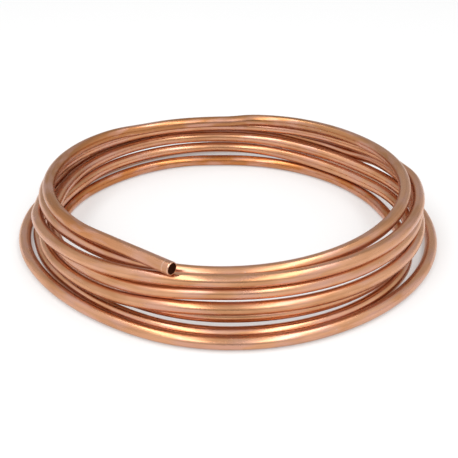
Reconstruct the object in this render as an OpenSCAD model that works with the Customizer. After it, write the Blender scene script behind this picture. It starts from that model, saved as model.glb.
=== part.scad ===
// Loose coil of bare copper tube, one piece of stock, lying on a level floor.
// X runs to the right and Y to the back as seen from the free end's side, Z is up, sizes in millimetres.

/* [Tube] */
// Outside diameter of the tube
tube_od = 10; // [8:0.5:11]
// Thickness of the tube's wall
wall = 1; // [0.8:0.1:1.2]

/* [Coil] */
// Radius of the outermost turn, to the middle of the tube
coil_r = 172; // [165:1:190]
// Free room between tubes that lie on or beside each other
turn_gap = 0.6; // [0.5:0.1:1.2]

/* [Ends] */
// Length of the straight lower end, which lies on the floor at the back
lower_len = 50; // [40:1:60]
// Length of the straight upper end, which lies on the turns at the front
upper_len = 73; // [65:1:80]
// How far the cutter's wheel has rolled the edge of a cut end inward
lip_in = 0.35; // [0.1:0.05:0.5]
// Length of the rolled edge along the tube
lip_len = 1; // [0.6:0.1:1.5]

/* [Hidden] */
$fn = 48;

// One tube's place is a lane counted inward from the outermost turn and a layer counted up from the floor
pitch = tube_od + turn_gap;

// Every second stretch of tube is thinner by this on each face and runs this far into its neighbours
relief = 0.02;
lap = 0.8;

// How the tube winds, turn by turn: degrees round from the left side by way of the front, lane, layer
turns = [
    // Outermost turn, on the floor
    [[-30, -0.12, 0], [0, 0, 0], [45, 0.7, 0], [90, 0, 0], [135, 0.15, 0], [180, 0, 0], [270, 0, 0],
     [330, 0.95, 0]],
    // Second turn, on the floor, drawn far inward at the right and back
    [[0, 1.08, 0], [15, 1.42, 0], [45, 1.8, 0], [90, 1.1, 0], [150, 1.4, 0], [172, 2.2, 0], [192, 2.95, 0],
     [270, 3.3, 0], [290, 2.93, 0], [320, 2.7, 0], [342, 2.47, 0]],
    // Third turn, climbing off the floor at the left
    [[0, 2.55, 0.05], [45, 2.55, 0.7], [90, 1.7, 1], [180, 1.9, 1], [225, 3.35, 1], [270, 2.5, 1],
     [315, 2.18, 1], [340, 2.33, 1]],
    // Fourth turn
    [[15, 1.7, 1.05], [25, 1.6, 1.12], [45, 1.56, 1.22], [90, 1.1, 1.95], [180, 1.25, 1.78], [225, 2.85, 1.9],
     [270, 2.4, 2], [300, 1.95, 2], [325, 2.08, 2], [346, 2.42, 2]],
    // Fifth turn, hidden behind the others at the back
    [[0, 2.5, 1.95], [45, 1.88, 2.28], [65, 1.6, 2.5], [90, 1.45, 2.95], [180, 1.35, 2.8], [205, 1.55, 2.68],
     [225, 1.85, 2.2], [270, 1.15, 2.4], [315, 0.95, 2.35], [332, 1.15, 2.25], [345, 1.45, 2.32]],
    // Sixth turn
    [[3, 1.48, 2.45], [14, 1.33, 2.68], [45, 1.5, 3.22], [90, 1.3, 3.95], [180, 1.4, 3.85], [197, 1.9, 3.7],
     [225, 2.1, 3.2], [270, 2.15, 3], [300, 1.85, 3.05], [335, 1.7, 3.2]],
    // Seventh turn, the highest all the way round
    [[0, 1.87, 3.47], [22, 2.22, 3.6], [45, 2.6, 3.66], [90, 2.45, 3.85], [180, 2.45, 4.45], [225, 2.9, 4.3],
     [258, 2.95, 4], [272, 3.35, 3.88], [300, 2.95, 3.88], [320, 2.5, 4.1]],
    // Free end, crossing over the turns at the left
    [[0, 2.38, 4.5], [25, 2.36, 4.75], [44, 2.31, 4.85], [50, 2.35, 4.87]]];

// The same places as degrees wound from the left side, radius and height
places = [for (k = [0 : len(turns) - 1]) for (s = turns[k])
    [360 * k + s[0], coil_r - s[1] * pitch, tube_od / 2 + s[2] * pitch]];
last = len(places) - 1;
per_radian = 180 / PI;

function unit(v) = v / norm(v);

// Point of the tube's middle line at a place
function at(k) = let (s = places[k], w = 180 + s[0]) [s[1] * cos(w), s[1] * sin(w), s[2]];

// Change of radius per degree at a place
function drift(k) = let (a = places[max(k - 1, 0)], b = places[min(k + 1, last)]) (b[1] - a[1]) / (b[0] - a[0]);

// Change of height per degree at a place, level wherever the tube stops climbing
function climb(a, b) = (b[2] - a[2]) / (b[0] - a[0]);
function rise(k) =
    k == 0 || k == last ? 0 :
    let (a = climb(places[k - 1], places[k]), b = climb(places[k], places[k + 1]))
    a * b <= 0 ? 0 : 2 * a * b / (a + b);

// Direction of the tube's middle line at a place
function dir(k) =
    let (s = places[k], w = 180 + s[0], out = drift(k) * per_radian)
    unit([out * cos(w) - s[1] * sin(w), out * sin(w) + s[1] * cos(w), rise(k) * per_radian]);

// Two arcs that meet smoothly join one place to the next, and this is the reach of their tangents
function reach(p0, t0, p1, t1) =
    let (v = p1 - p0, a = 2 * (1 - t0 * t1), b = 2 * (v * (t0 + t1)))
    (sqrt(b * b + 4 * a * (v * v)) - b) / (2 * a);

// Cross-section of the tube
module section(slim) {
    cut = slim ? relief : 0;
    difference() {
        circle(d = tube_od - 2 * cut);
        circle(d = tube_od - 2 * wall + 2 * cut);
    }
}

// Bent stretch of tube from p0, where it runs along t0, to p1
module bend(p0, t0, p1, slim) {
    v = p1 - p0;
    z = unit(cross(t0, v));
    inward = cross(z, t0);
    r = (v * v) / (2 * (inward * v));
    angle = 2 * atan2(inward * v, t0 * v);
    c = p0 + inward * r;
    x = -inward;
    extra = slim ? lap / r * per_radian : 0;
    multmatrix([[x[0], t0[0], z[0], c[0]], [x[1], t0[1], z[1], c[1]], [x[2], t0[2], z[2], c[2]], [0, 0, 0, 1]])
        rotate([0, 0, -extra])
        rotate_extrude(angle = angle + 2 * extra)
        translate([r, 0])
        section(slim);
}

// Straight end of the tube, from p along t, with the edge that a tube cutter leaves
module straight_end(p, t, length, slim) {
    cut = slim ? relief : 0;
    back = slim ? lap : 0;
    ro = tube_od / 2 - cut;
    ri = tube_od / 2 - wall + cut;
    side = unit(cross([0, 0, 1], t));
    up = cross(t, side);
    multmatrix([[side[0], up[0], t[0], p[0]], [side[1], up[1], t[1], p[1]], [side[2], up[2], t[2], p[2]],
                [0, 0, 0, 1]])
        rotate_extrude()
        polygon([[ri, -back], [ro, -back], [ro, length - lip_len], [ro - lip_in, length],
                 [ri - lip_in, length], [ri, length - lip_len]]);
}

// The whole tube
module copper_tube() {
    color([0.80, 0.50, 0.33]) {
        straight_end(at(0), -dir(0), lower_len, true);
        for (k = [0 : last - 1]) {
            p0 = at(k);
            t0 = dir(k);
            p1 = at(k + 1);
            t1 = dir(k + 1);
            d = reach(p0, t0, p1, t1);
            q0 = p0 + d * t0;
            q1 = p1 - d * t1;
            middle = (q0 + q1) / 2;
            bend(p0, t0, middle, false);
            bend(middle, unit(q1 - q0), p1, true);
        }
        straight_end(at(last), dir(last), upper_len, false);
    }
}

copper_tube();
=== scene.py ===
"""Loose coil of bare copper tube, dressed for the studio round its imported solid."""

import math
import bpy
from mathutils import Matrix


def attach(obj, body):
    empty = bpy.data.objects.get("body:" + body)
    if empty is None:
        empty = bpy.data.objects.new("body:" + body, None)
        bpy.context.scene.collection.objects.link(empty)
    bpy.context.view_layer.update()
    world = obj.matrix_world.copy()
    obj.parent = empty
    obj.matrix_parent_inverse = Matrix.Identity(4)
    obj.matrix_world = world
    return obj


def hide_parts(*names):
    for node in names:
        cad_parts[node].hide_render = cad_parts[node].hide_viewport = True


bl_info = {
    "name": "Copper Tube Coil",
    "version": (1, 0, 0),
    "blender": (4, 5, 0),
    "location": "View3D > Sidebar > Coil",
    "description": "Models a loose coil of bare copper tube and the studio it lies in",
    "category": "Object",
}

import bpy
from mathutils import Quaternion, Vector

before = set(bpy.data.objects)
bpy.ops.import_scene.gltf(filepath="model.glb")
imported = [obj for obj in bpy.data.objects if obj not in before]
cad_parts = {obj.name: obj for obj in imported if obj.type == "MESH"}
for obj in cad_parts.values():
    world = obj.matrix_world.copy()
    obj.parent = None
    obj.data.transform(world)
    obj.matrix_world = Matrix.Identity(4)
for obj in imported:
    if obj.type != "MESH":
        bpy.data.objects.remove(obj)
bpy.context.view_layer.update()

MM = 0.001

# How the tube winds, turn by turn, as its solid does:
# degrees round from the left side by way of the front, lane counted inward, layer counted up
TURNS = (
    # outermost turn, on the floor
    ((-30, -0.12, 0), (0, 0, 0), (45, 0.7, 0), (90, 0, 0), (135, 0.15, 0), (180, 0, 0), (270, 0, 0),
     (330, 0.95, 0)),
    # second turn, on the floor, drawn far inward at the right and back
    ((0, 1.08, 0), (15, 1.42, 0), (45, 1.8, 0), (90, 1.1, 0), (150, 1.4, 0), (172, 2.2, 0),
     (192, 2.95, 0), (270, 3.3, 0), (290, 2.93, 0), (320, 2.7, 0), (342, 2.47, 0)),
    # third turn, climbing off the floor at the left
    ((0, 2.55, 0.05), (45, 2.55, 0.7), (90, 1.7, 1), (180, 1.9, 1), (225, 3.35, 1), (270, 2.5, 1),
     (315, 2.18, 1), (340, 2.33, 1)),
    # fourth turn
    ((15, 1.7, 1.05), (25, 1.6, 1.12), (45, 1.56, 1.22), (90, 1.1, 1.95), (180, 1.25, 1.78),
     (225, 2.85, 1.9), (270, 2.4, 2), (300, 1.95, 2), (325, 2.08, 2), (346, 2.42, 2)),
    # fifth turn, hidden behind the others at the back
    ((0, 2.5, 1.95), (45, 1.88, 2.28), (65, 1.6, 2.5), (90, 1.45, 2.95), (180, 1.35, 2.8),
     (205, 1.55, 2.68), (225, 1.85, 2.2), (270, 1.15, 2.4), (315, 0.95, 2.35), (332, 1.15, 2.25),
     (345, 1.45, 2.32)),
    # sixth turn
    ((3, 1.48, 2.45), (14, 1.33, 2.68), (45, 1.5, 3.22), (90, 1.3, 3.95), (180, 1.4, 3.85),
     (197, 1.9, 3.7), (225, 2.1, 3.2), (270, 2.15, 3), (300, 1.85, 3.05), (335, 1.7, 3.2)),
    # seventh turn, the highest at the right and back
    ((0, 1.87, 3.47), (22, 2.22, 3.6), (45, 2.6, 3.66), (90, 2.45, 3.85), (180, 2.45, 4.45),
     (225, 2.9, 4.3), (258, 2.95, 4), (272, 3.35, 3.88), (300, 2.95, 3.88), (320, 2.5, 4.1)),
    # free end, crossing over the turns at the left
    ((0, 2.38, 4.5), (25, 2.36, 4.75), (44, 2.31, 4.85), (50, 2.35, 4.87)),
)

# Straight steps of the winding's guide in each bend
BEND_STEPS = 32
# Rings that round a cut edge
LIP_STEPS = 5
# Points nearer than this are one point where lengths of tube meet
WELD = 0.02 * MM
# Edges this near to a cut belong to it
NEAR = 0.1 * MM
# Edges sharper than this stay sharp
SHARP = math.radians(40)

# Colour of the metal at distances along the tube, in metres from its lower end.
# The second turn's back is painted darker and more orange, as painted shade and copper reflection
# from the turns around it; the free end is browner and darker, lightening towards its mouth
CLEAN = "d7a07b"
TONES_AND_SHADE = (
    # 1.78 to 2.12 m: painted shade and reflection on the second turn's back
    (0.0, CLEAN), (1.6, CLEAN), (1.78, "c37d48"), (2.12, "c17b46"), (2.22, CLEAN),
    (6.4, CLEAN), (6.6, "b6835a"), (6.72, "b27a51"), (6.83, "bb7c4c"), (6.93, "be8354"),
    (7.02, "c88758"), (7.08, "d09a78"), (7.1, "d4a286"),
)

# Grey of the dim room in front, from 0 at the horizon to 1 straight overhead
ROOM = ((0.0, "989898"), (0.18, "9e9e9e"), (0.45, "eaeaea"), (0.8, "d6d6d6"), (1.0, "c2c2c2"))

# Strip lamps: name, degrees that it hangs to the right of overhead, width in metres
LAMPS = (("soft_lamp_left", -23, 0.62), ("soft_lamp_right", 22, 0.56))

# Width of the camera's film in millimetres
FILM = 36


def linear(code):
    """Linear colour of an sRGB hex value such as b87333"""
    parts = [int(code[i:i + 2], 16) / 255 for i in (0, 2, 4)]
    return [c / 12.92 if c <= 0.04045 else ((c + 0.055) / 1.055) ** 2.4 for c in parts] + [1.0]


class CoilTube(bpy.types.PropertyGroup):
    """Sizes of the tube and of its winding, in metres, as in the solid"""

    outside: bpy.props.FloatProperty(
        name="Outside", description="Outside diameter of the tube",
        default=10 * MM, unit="LENGTH")
    wall: bpy.props.FloatProperty(
        name="Wall", description="Thickness of the tube's wall",
        default=1 * MM, unit="LENGTH")
    coil_radius: bpy.props.FloatProperty(
        name="Coil radius", description="Outermost turn, to the middle of the tube",
        default=172 * MM, unit="LENGTH")
    turn_gap: bpy.props.FloatProperty(
        name="Turn gap", description="Free room between neighbouring tubes",
        default=0.6 * MM, unit="LENGTH")
    lower_length: bpy.props.FloatProperty(
        name="Lower end", description="Straight end that lies on the floor",
        default=50 * MM, unit="LENGTH")
    upper_length: bpy.props.FloatProperty(
        name="Upper end", description="Straight end that lies on the turns",
        default=73 * MM, unit="LENGTH")
    lip_in: bpy.props.FloatProperty(
        name="Lip depth", description="How far a cut edge is rolled inward",
        default=0.35 * MM, unit="LENGTH")
    lip_length: bpy.props.FloatProperty(
        name="Lip length", description="Length of the rolled edge",
        default=1 * MM, unit="LENGTH")
    sides: bpy.props.IntProperty(
        name="Sides", description="Faces round the tube",
        default=32, min=12)
    ring_step: bpy.props.FloatProperty(
        name="Ring step", description="Longest face along the tube",
        default=6 * MM, unit="LENGTH")


class CoilFinish(bpy.types.PropertyGroup):
    """Colours and pattern sizes of the copper"""

    brown: bpy.props.FloatVectorProperty(
        name="Brown stains", description="Colour of the brown tarnish",
        default=linear("bd8458"), size=4, min=0, max=1, subtype="COLOR")
    pink: bpy.props.FloatVectorProperty(
        name="Pink stains", description="Colour of the pink tarnish",
        default=linear("d3a28f"), size=4, min=0, max=1, subtype="COLOR")
    dust: bpy.props.FloatVectorProperty(
        name="Specks", description="Colour of dust and small pits",
        default=linear("cdb2a6"), size=4, min=0, max=1, subtype="COLOR")
    ring: bpy.props.FloatVectorProperty(
        name="Cutter's ring", description="Colour of the ring that the cutter pressed",
        default=linear("e2bda6"), size=4, min=0, max=1, subtype="COLOR")
    rim: bpy.props.FloatVectorProperty(
        name="Cut edge", description="Colour of the freshly cut edge",
        default=linear("dcb49c"), size=4, min=0, max=1, subtype="COLOR")
    bore: bpy.props.FloatVectorProperty(
        name="Bore", description="Colour of the inside of the tube",
        default=linear("32170c"), size=4, min=0, max=1, subtype="COLOR")
    line_gap: bpy.props.FloatProperty(
        name="Die line gap", description="Distance between lines from the drawing die",
        default=1.6 * MM, unit="LENGTH")
    line_length: bpy.props.FloatProperty(
        name="Die line length", description="Length of a line from the drawing die",
        default=200 * MM, unit="LENGTH")
    stain_width: bpy.props.FloatProperty(
        name="Stain width", description="Width of a tarnished patch",
        default=7 * MM, unit="LENGTH")
    stain_length: bpy.props.FloatProperty(
        name="Stain length", description="Length of a tarnished patch along the tube",
        default=30 * MM, unit="LENGTH")
    speck_cell: bpy.props.FloatProperty(
        name="Speck cell", description="Side of the space that holds one speck",
        default=9 * MM, unit="LENGTH")
    ring_back: bpy.props.FloatProperty(
        name="Ring place", description="From the cut to the cutter's ring",
        default=5.5 * MM, unit="LENGTH")
    ring_width: bpy.props.FloatProperty(
        name="Ring width", description="Width of the cutter's ring",
        default=1 * MM, unit="LENGTH")
    line_depth: bpy.props.FloatProperty(
        name="Die line depth", description="Depth of the lines from the drawing die",
        default=0.04 * MM, unit="LENGTH")


class CoilStudio(bpy.types.PropertyGroup):
    """Camera, floor and light of the studio"""

    camera_aside: bpy.props.FloatProperty(
        name="Camera offset", description="How far the lens stands to the right of the coil's axis",
        default=1.45 * MM, unit="LENGTH")
    camera_height: bpy.props.FloatProperty(
        name="Camera height", description="Height of the lens above the floor",
        default=0.3777, unit="LENGTH")
    camera_back: bpy.props.FloatProperty(
        name="Camera distance", description="From the coil's axis to the lens, along the floor",
        default=0.6925, unit="LENGTH")
    camera_down: bpy.props.FloatProperty(
        name="Camera tilt", description="How far the camera looks down",
        default=math.radians(28.5), subtype="ANGLE")
    lens: bpy.props.FloatProperty(
        name="Lens", description="Focal length in millimetres",
        default=71.92, unit="CAMERA")
    floor_side: bpy.props.FloatProperty(
        name="Floor side", description="Side of the square floor",
        default=24, unit="LENGTH")
    floor_colour: bpy.props.FloatVectorProperty(
        name="Floor", description="Colour of the floor's paper",
        default=linear("c4c4c4"), size=4, min=0, max=1, subtype="COLOR")
    floor_glow: bpy.props.FloatProperty(
        name="Floor glow", description="Light that comes through the floor's paper from below",
        default=0.31, min=0)
    lamp_distance: bpy.props.FloatProperty(
        name="Lamp distance", description="From the middle of the floor to each lamp",
        default=2.4, unit="LENGTH")
    lamp_forward: bpy.props.FloatProperty(
        name="Lamp lean", description="How far the lamps hang in front of straight overhead",
        default=math.radians(22), subtype="ANGLE")
    lamp_length: bpy.props.FloatProperty(
        name="Lamp length", description="Length of each lamp, from front to back",
        default=3.6, unit="LENGTH")
    lamp_power: bpy.props.FloatProperty(
        name="Lamp power", description="Power of a soft lamp for each metre of its width",
        default=50, unit="POWER")
    screen_colour: bpy.props.FloatVectorProperty(
        name="Screens", description="Colour of the screens at both sides",
        default=linear("fafafa"), size=4, min=0, max=1, subtype="COLOR")
    paper_colour: bpy.props.FloatVectorProperty(
        name="Paper behind", description="Colour of the paper that hangs behind",
        default=linear("c4c4c4"), size=4, min=0, max=1, subtype="COLOR")


def node(tree, kind, links=(), **settings):
    """Adds one node: settings are its own values, links pairs of input and value or output socket"""
    made = tree.nodes.new(kind)
    for name, value in settings.items():
        setattr(made, name, value)
    for name, value in links:
        if isinstance(value, bpy.types.NodeSocket):
            tree.links.new(value, made.inputs[name])
        else:
            made.inputs[name].default_value = value
    return made


def places(size):
    """Each place of the winding as degrees wound, radius and height"""
    pitch = size.outside + size.turn_gap
    return [(360 * k + turned, size.coil_radius - lane * pitch, size.outside / 2 + layer * pitch)
            for k, turn in enumerate(TURNS) for turned, lane, layer in turn]


def climb(a, b):
    """Rise per degree between two places"""
    return (b[2] - a[2]) / (b[0] - a[0])


def course(size):
    """Point and direction of the tube's middle line at each place"""
    stops = places(size)
    last = len(stops) - 1
    out = []
    for k, (turned, radius, height) in enumerate(stops):
        w = math.radians(180 + turned)
        outward = Vector((math.cos(w), math.sin(w), 0))
        along = Vector((-math.sin(w), math.cos(w), 0))
        before, after = stops[max(k - 1, 0)], stops[min(k + 1, last)]
        drift = (after[1] - before[1]) / math.radians(after[0] - before[0])
        # Level at a crest or dip, so that the tube never rises past its places
        rise = 0
        if 0 < k < last:
            a, b = climb(before, stops[k]), climb(stops[k], after)
            if a * b > 0:
                rise = math.degrees(2 * a * b / (a + b))
        point = outward * radius + Vector((0, 0, height))
        out.append((point, (along * radius + outward * drift + Vector((0, 0, rise))).normalized()))
    return out


def knots(size):
    """Points of the tube's middle line with their directions, the handles' reach between each two
    of them, and the whole length"""
    stops = course(size)
    (first, way), (last, onward) = stops[0], stops[-1]
    points = [(first - way * size.lower_length, way), (first, way)]
    reaches = [size.lower_length / 3]
    length = size.lower_length + size.upper_length
    for (p0, t0), (p1, t1) in zip(stops, stops[1:]):
        # Two arcs lead from each place to the next and meet smoothly in the middle
        v = p1 - p0
        a = 2 * (1 - t0.dot(t1))
        b = 2 * v.dot(t0 + t1)
        d = (math.sqrt(b * b + 4 * a * v.length_squared) - b) / (2 * a)
        q0, q1 = p0 + t0 * d, p1 - t1 * d
        middle, across = (q0 + q1) / 2, (q1 - q0).normalized()
        for start, way, stop in ((p0, t0, middle), (middle, across, p1)):
            v = stop - start
            half = way.angle(v)
            radius = v.length / (2 * math.sin(half))
            # With handles of this reach a curve segment follows the arc
            reaches.append(4 / 3 * math.tan(half / 2) * radius)
            length += 2 * half * radius
        points += [(middle, across), (p1, t1)]
    points.append((last + onward * size.upper_length, onward))
    reaches.append(size.upper_length / 3)
    return points, reaches, length


def winding_guide(points, reaches):
    """Lays a guide curve along the tube's middle line, one curve segment for each bend"""
    bpy.ops.curve.primitive_bezier_curve_add()
    guide = bpy.context.object
    guide.name = "winding_guide"
    guide.data.resolution_u = BEND_STEPS
    spline = guide.data.splines[0]
    spline.bezier_points.add(len(points) - len(spline.bezier_points))
    for knot, (point, way), before, after in zip(
            spline.bezier_points, points, reaches[:1] + reaches, reaches + reaches[-1:]):
        knot.handle_left_type = knot.handle_right_type = "FREE"
        knot.co = point
        knot.handle_left = point - way * before
        knot.handle_right = point + way * after
    return guide


def draw_out(way, centre, factor):
    """Extrudes the selected ring by a step and resizes the new ring about its centre"""
    bpy.ops.mesh.extrude_region_move(TRANSFORM_OT_translate={"value": way})
    bpy.ops.transform.resize(value=(factor, factor, factor), center_override=centre)


def cut_edge(size, radius, rounded):
    """Distances from a wall's plain end towards the cut and the wall's radii there"""
    rows = []
    for k in range(LIP_STEPS + 1):
        u = k / LIP_STEPS
        bow = 1 - math.sqrt(1 - u * u) if rounded else u * u
        rows.append((size.lip_length * u, radius - size.lip_in * bow))
    return rows


def select_rim(piece, x, low, high):
    """Selects the open edges of the straight tube at x that lie between two radii"""
    bpy.ops.mesh.select_mode(type="EDGE")
    bpy.ops.mesh.select_all(action="DESELECT")
    bpy.ops.mesh.select_non_manifold(
        extend=False, use_wire=False, use_boundary=True, use_multi_face=False,
        use_non_contiguous=False, use_verts=False)
    bpy.ops.object.mode_set(mode="OBJECT")
    mesh = piece.data
    keep = set()
    for edge in mesh.edges:
        ends = [mesh.vertices[v].co for v in edge.vertices]
        if edge.select and all(abs(c.x - x) < NEAR and low < math.hypot(c.y, c.z) < high for c in ends):
            keep.add(edge.index)
    if not keep:
        raise RuntimeError("The straight tube has no open edge at this cut")
    for part in (mesh.vertices, mesh.edges, mesh.polygons):
        part.foreach_set("select", [False] * len(part))
    for index in keep:
        mesh.edges[index].select = True
    bpy.ops.object.mode_set(mode="EDIT")


def straight_stock(size, length):
    """Models the tube before it is wound: two walls drawn from rings and repeated to length,
    joined by rolled cut edges"""
    outer, bore = size.outside / 2, size.outside / 2 - size.wall
    plain = length - 2 * size.lip_length
    count = math.ceil(plain / size.ring_step)
    step = plain / count
    bpy.ops.mesh.primitive_circle_add(
        vertices=size.sides, radius=outer, location=(size.lip_length, 0, 0), rotation=(0, math.pi / 2, 0))
    piece = bpy.context.object
    piece.name = piece.data.name = "drawn_copper_tube"
    bpy.ops.object.transform_apply(location=True, rotation=True, scale=True)
    bpy.ops.object.mode_set(mode="EDIT")
    bpy.ops.mesh.select_all(action="SELECT")
    bpy.ops.mesh.extrude_region_move(TRANSFORM_OT_translate={"value": (step, 0, 0)})
    bpy.ops.mesh.select_all(action="DESELECT")
    bpy.ops.mesh.primitive_circle_add(
        vertices=size.sides, radius=bore, location=(size.lip_length, 0, 0), rotation=(0, math.pi / 2, 0))
    bpy.ops.mesh.extrude_region_move(TRANSFORM_OT_translate={"value": (step, 0, 0)})
    bpy.ops.object.mode_set(mode="OBJECT")
    repeat = piece.modifiers.new("length", "ARRAY")
    repeat.count = count
    repeat.use_relative_offset = False
    repeat.use_constant_offset = True
    repeat.constant_offset_displace = (step, 0, 0)
    repeat.use_merge_vertices = True
    repeat.merge_threshold = WELD
    bpy.ops.object.modifier_apply(modifier=repeat.name)
    bpy.ops.object.mode_set(mode="EDIT")
    middle = (outer + bore) / 2
    for x, way in ((size.lip_length, -1), (length - size.lip_length, 1)):
        for radius, rounded, low, high in ((outer, True, middle, 2 * outer), (bore, False, 0, middle)):
            select_rim(piece, x, low, high)
            rows = cut_edge(size, radius, rounded)
            for (d0, r0), (d1, r1) in zip(rows, rows[1:]):
                draw_out((way * (d1 - d0), 0, 0), (x + way * d1, 0, 0), r1 / r0)
        select_rim(piece, x + way * size.lip_length, 0, 2 * outer)
        bpy.ops.mesh.bridge_edge_loops()
    bpy.ops.mesh.select_all(action="SELECT")
    bpy.ops.mesh.normals_make_consistent(inside=False)
    bpy.ops.object.mode_set(mode="OBJECT")
    return piece


def copper(name, size, finish, length):
    """Bright annealed copper, drawn through a die and wound soft"""
    # It gives the eye a satin gloss with long soft highlights, salmon with browner and pinker patches
    made = bpy.data.materials.new(name)
    made.use_nodes = True
    tree = made.node_tree
    tree.nodes.clear()
    # Places on the tube before it was wound: x along it, y and z across it
    place = node(tree, "ShaderNodeAttribute", attribute_name="straight").outputs["Vector"]
    along = node(tree, "ShaderNodeSeparateXYZ", [("Vector", place)]).outputs["X"]
    across = node(tree, "ShaderNodeVectorMath", [(0, place), (1, (0, 1, 1))], operation="MULTIPLY")
    radius = node(tree, "ShaderNodeVectorMath", [(0, across.outputs["Vector"])], operation="LENGTH")
    left = node(tree, "ShaderNodeMath", [(0, length), (1, along)], operation="SUBTRACT")
    to_cut = node(tree, "ShaderNodeMath", [(0, along), (1, left.outputs["Value"])], operation="MINIMUM")

    # Lines from the drawing die run along the tube. Real ones are about a tenth of a millimetre apart,
    # too fine to show, so they are drawn 1.6 mm apart
    drawn = node(tree, "ShaderNodeMapping", [
        ("Vector", place),
        ("Scale", (1 / finish.line_length, 1 / finish.line_gap, 1 / finish.line_gap))])
    lines = node(tree, "ShaderNodeTexNoise", [
        ("Vector", drawn.outputs["Vector"]), ("Scale", 1.0), ("Detail", 1.0), ("Roughness", 0.5)])
    # Tarnish lies in soft patches, longer than they are wide
    stained = node(tree, "ShaderNodeMapping", [
        ("Vector", place),
        ("Scale", (1 / finish.stain_length, 1 / finish.stain_width, 1 / finish.stain_width))])
    stains = node(tree, "ShaderNodeTexNoise", [
        ("Vector", stained.outputs["Vector"]), ("Scale", 1.0), ("Detail", 2.0), ("Roughness", 0.5)])
    stain = node(tree, "ShaderNodeSeparateColor", [("Color", stains.outputs["Color"])])

    # Most of the tube is clean salmon copper; on the second turn's back painted shade and reflection make
    # it a darker orange brown, and the free end is browner
    share = node(tree, "ShaderNodeMath", [(0, along), (1, length)], operation="DIVIDE")
    tone_and_shade = node(tree, "ShaderNodeValToRGB", [("Fac", share.outputs["Value"])])
    stops = tone_and_shade.color_ramp.elements
    for metres, code in TONES_AND_SHADE[1:-1]:
        stops.new(metres / length).color = linear(code)
    stops[0].color = linear(TONES_AND_SHADE[0][1])
    stops[-1].color = linear(TONES_AND_SHADE[-1][1])

    brown = node(tree, "ShaderNodeMapRange", [
        ("Value", stain.outputs["Red"]), ("From Min", 0.42), ("From Max", 0.64), ("To Max", 0.6)])
    colour = node(tree, "ShaderNodeMix", [
        (0, brown.outputs["Result"]), (6, tone_and_shade.outputs["Color"]), (7, finish.brown)], data_type="RGBA")
    pink = node(tree, "ShaderNodeMapRange", [
        ("Value", stain.outputs["Green"]), ("From Min", 0.46), ("From Max", 0.64), ("To Max", 0.75)])
    colour = node(tree, "ShaderNodeMix", [
        (0, pink.outputs["Result"]), (6, colour.outputs[2]), (7, finish.pink)], data_type="RGBA")
    streak = node(tree, "ShaderNodeMapRange", [
        ("Value", lines.outputs["Fac"]), ("From Min", 0.3), ("From Max", 0.7),
        ("To Min", 0.9), ("To Max", 1.06)])
    colour = node(tree, "ShaderNodeMix", [
        (0, 1.0), (6, colour.outputs[2]), (7, streak.outputs["Result"])],
        data_type="RGBA", blend_type="MULTIPLY")

    # Specks of dust and small pits, about a millimetre across and about 20 mm apart along the tube
    strewn = node(tree, "ShaderNodeMapping", [("Vector", place), ("Scale", (1 / finish.speck_cell,) * 3)])
    grit = node(tree, "ShaderNodeTexVoronoi", [("Vector", strewn.outputs["Vector"]), ("Scale", 1.0)])
    speck = node(tree, "ShaderNodeMapRange", [
        ("Value", grit.outputs["Distance"]), ("From Min", 0.07), ("From Max", 0.04), ("To Max", 0.7)])
    colour = node(tree, "ShaderNodeMix", [
        (0, speck.outputs["Result"]), (6, colour.outputs[2]), (7, finish.dust)], data_type="RGBA")

    # The cutter left the edge bright and pressed a faint pale ring a little behind it
    ring = node(tree, "ShaderNodeMath", [
        (0, to_cut.outputs["Value"]), (1, finish.ring_back), (2, finish.ring_width / 2)],
        operation="COMPARE")
    ringed = node(tree, "ShaderNodeMath", [(0, ring.outputs["Value"]), (1, 0.5)], operation="MULTIPLY")
    colour = node(tree, "ShaderNodeMix", [
        (0, ringed.outputs["Value"]), (6, colour.outputs[2]), (7, finish.ring)], data_type="RGBA")
    rim = node(tree, "ShaderNodeMapRange", [
        ("Value", to_cut.outputs["Value"]),
        ("From Min", size.lip_length), ("From Max", 0.4 * size.lip_length)])
    colour = node(tree, "ShaderNodeMix", [
        (0, rim.outputs["Result"]), (6, colour.outputs[2]), (7, finish.rim)], data_type="RGBA")
    # The bore is coloured a dull dark brown, far darker than the outside
    bore = node(tree, "ShaderNodeMath", [
        (0, radius.outputs["Value"]), (1, size.outside / 2 - 0.8 * size.wall)], operation="LESS_THAN")
    colour = node(tree, "ShaderNodeMix", [
        (0, bore.outputs["Value"]), (6, colour.outputs[2]), (7, finish.bore)], data_type="RGBA")

    gloss = node(tree, "ShaderNodeMapRange", [
        ("Value", stain.outputs["Blue"]), ("From Min", 0.35), ("From Max", 0.7),
        ("To Min", 0.24), ("To Max", 0.34)])
    dull = node(tree, "ShaderNodeMix", [
        (0, bore.outputs["Value"]), (2, gloss.outputs["Result"]), (3, 0.6)], data_type="FLOAT")
    relief = node(tree, "ShaderNodeBump", [
        ("Strength", 0.1), ("Distance", finish.line_depth), ("Height", lines.outputs["Fac"])])
    shader = node(tree, "ShaderNodeBsdfPrincipled", [
        ("Base Color", colour.outputs[2]), ("Metallic", 1.0), ("Roughness", dull.outputs[0]),
        ("Normal", relief.outputs["Normal"])])
    node(tree, "ShaderNodeOutputMaterial", [("Surface", shader.outputs["BSDF"])])
    return made


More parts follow.
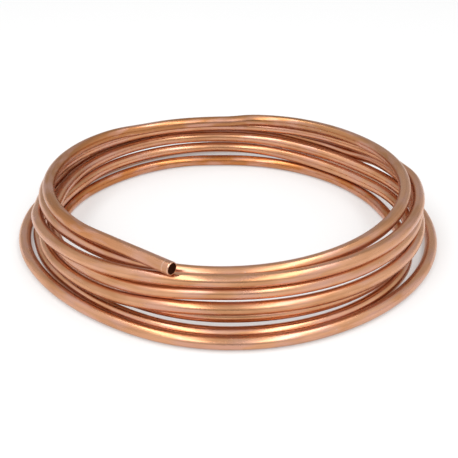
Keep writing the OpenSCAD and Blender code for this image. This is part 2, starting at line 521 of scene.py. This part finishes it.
class COIL_OT_copper_tube(bpy.types.Operator):
    """Models the copper tube straight, winds it along its middle line and gives it its finish"""

    bl_idname = "coil.copper_tube"
    bl_label = "Copper tube"

    def execute(self, context):
        size = context.scene.coil_tube
        points, reaches, length = knots(size)
        bpy.ops.object.select_all(action="DESELECT")
        guide = winding_guide(points, reaches)
        bpy.ops.object.select_all(action="DESELECT")
        piece = straight_stock(size, length)
        straight = piece.data.attributes.new("straight", "FLOAT_VECTOR", "POINT")
        for point, vertex in zip(straight.data, piece.data.vertices):
            point.vector = vertex.co
        wind = piece.modifiers.new("winding", "CURVE")
        wind.object = guide
        wind.deform_axis = "POS_X"
        bpy.ops.object.modifier_apply(modifier=wind.name)
        bpy.data.objects.remove(guide)
        bpy.ops.object.shade_smooth_by_angle(angle=SHARP)
        finish = context.scene.coil_finish
        piece.data.materials.append(copper("bright_annealed_copper", size, finish, length))
        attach(piece, "root")
        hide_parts("copper_tube")
        return {"FINISHED"}


def white_floor(name, studio):
    """Matt white studio paper, lit from below until it is blank"""
    # It gives the eye no grain and no gloss, only the coil's soft shadow
    made = bpy.data.materials.new(name)
    made.use_nodes = True
    tree = made.node_tree
    tree.nodes.clear()
    shader = node(tree, "ShaderNodeBsdfPrincipled", [
        ("Base Color", studio.floor_colour), ("Roughness", 0.9), ("Specular IOR Level", 0.0),
        ("Emission Color", linear("ffffff")), ("Emission Strength", studio.floor_glow)])
    node(tree, "ShaderNodeOutputMaterial", [("Surface", shader.outputs["BSDF"])])
    return made


def strip_lamp(name, aside, width, studio):
    """Hangs one long soft lamp overhead, which runs from front to back and faces the coil"""
    turn = Quaternion((1, 0, 0), studio.lamp_forward) @ Quaternion((0, 1, 0), math.radians(aside))
    bpy.ops.object.light_add(type="AREA", location=turn @ Vector((0, 0, studio.lamp_distance)))
    lamp = bpy.context.object
    lamp.name = name
    lamp.rotation_mode = "QUATERNION"
    lamp.rotation_quaternion = turn
    lamp.data.shape = "RECTANGLE"
    lamp.data.size = width
    lamp.data.size_y = studio.lamp_length
    lamp.data.energy = studio.lamp_power * width


def studio_room(name, studio):
    """Dim room in front up to the lamps, white screens at both sides and pale grey paper behind"""
    made = bpy.data.worlds.new(name)
    made.use_nodes = True
    tree = made.node_tree
    tree.nodes.clear()
    way = node(tree, "ShaderNodeTexCoord")
    parts = node(tree, "ShaderNodeSeparateXYZ", [("Vector", way.outputs["Generated"])])
    room = node(tree, "ShaderNodeValToRGB", [("Fac", parts.outputs["Z"])])
    stops = room.color_ramp.elements
    for height, code in ROOM[1:-1]:
        stops.new(height).color = linear(code)
    stops[0].color = linear(ROOM[0][1])
    stops[-1].color = linear(ROOM[-1][1])
    sideways = node(tree, "ShaderNodeMath", [(0, parts.outputs["X"])], operation="ABSOLUTE")
    beside = node(tree, "ShaderNodeMapRange", [
        ("Value", sideways.outputs["Value"]), ("From Min", 0.25), ("From Max", 0.6)])
    screens = node(tree, "ShaderNodeMix", [
        (0, beside.outputs["Result"]), (6, room.outputs["Color"]), (7, studio.screen_colour)],
        data_type="RGBA")
    behind = node(tree, "ShaderNodeMapRange", [
        ("Value", parts.outputs["Y"]), ("From Min", 0.15), ("From Max", 0.6)])
    light = node(tree, "ShaderNodeMix", [
        (0, behind.outputs["Result"]), (6, screens.outputs[2]), (7, studio.paper_colour)],
        data_type="RGBA")
    air = node(tree, "ShaderNodeBackground", [("Color", light.outputs[2])])
    node(tree, "ShaderNodeOutputWorld", [("Surface", air.outputs["Background"])])
    return made


class COIL_OT_studio(bpy.types.Operator):
    """Lays the pale floor, sets up the camera and hangs the soft lamps"""

    bl_idname = "coil.studio"
    bl_label = "Studio"

    def execute(self, context):
        scene = context.scene
        studio = scene.coil_studio
        bpy.ops.object.select_all(action="DESELECT")
        bpy.ops.mesh.primitive_plane_add(size=studio.floor_side)
        floor = context.object
        floor.name = floor.data.name = "studio_floor"
        floor.data.materials.append(white_floor("white_studio_paper", studio))

        bpy.ops.object.camera_add(
            location=(studio.camera_aside, -studio.camera_back, studio.camera_height),
            rotation=(math.pi / 2 - studio.camera_down, 0, 0))
        scene.camera = context.object
        scene.camera.name = "studio_camera"
        scene.camera.data.lens = studio.lens
        scene.camera.data.sensor_width = FILM

        for name, aside, width in LAMPS:
            strip_lamp(name, aside, width, studio)
        scene.world = studio_room("studio_room", studio)
        scene.view_settings.view_transform = "Standard"
        return {"FINISHED"}


class COIL_PT_sidebar(bpy.types.Panel):
    """Lists the coil's sizes, colours and makers in the sidebar"""

    bl_idname = "COIL_PT_sidebar"
    bl_label = "Copper tube coil"
    bl_space_type = "VIEW_3D"
    bl_region_type = "UI"
    bl_category = "Coil"

    def draw(self, context):
        scene = context.scene
        for group in (scene.coil_tube, scene.coil_finish, scene.coil_studio):
            for name in group.__annotations__:
                self.layout.prop(group, name)
        self.layout.operator(COIL_OT_studio.bl_idname)
        self.layout.operator(COIL_OT_copper_tube.bl_idname)


CLASSES = (CoilTube, CoilFinish, CoilStudio, COIL_OT_copper_tube, COIL_OT_studio, COIL_PT_sidebar)


def register():
    for made in CLASSES:
        bpy.utils.register_class(made)
    bpy.types.Scene.coil_tube = bpy.props.PointerProperty(type=CoilTube)
    bpy.types.Scene.coil_finish = bpy.props.PointerProperty(type=CoilFinish)
    bpy.types.Scene.coil_studio = bpy.props.PointerProperty(type=CoilStudio)


def unregister():
    del bpy.types.Scene.coil_studio
    del bpy.types.Scene.coil_finish
    del bpy.types.Scene.coil_tube
    for made in reversed(CLASSES):
        bpy.utils.unregister_class(made)


def main():
    register()
    bpy.ops.coil.studio()
    bpy.ops.coil.copper_tube()


if __name__ == "__main__":
    main()
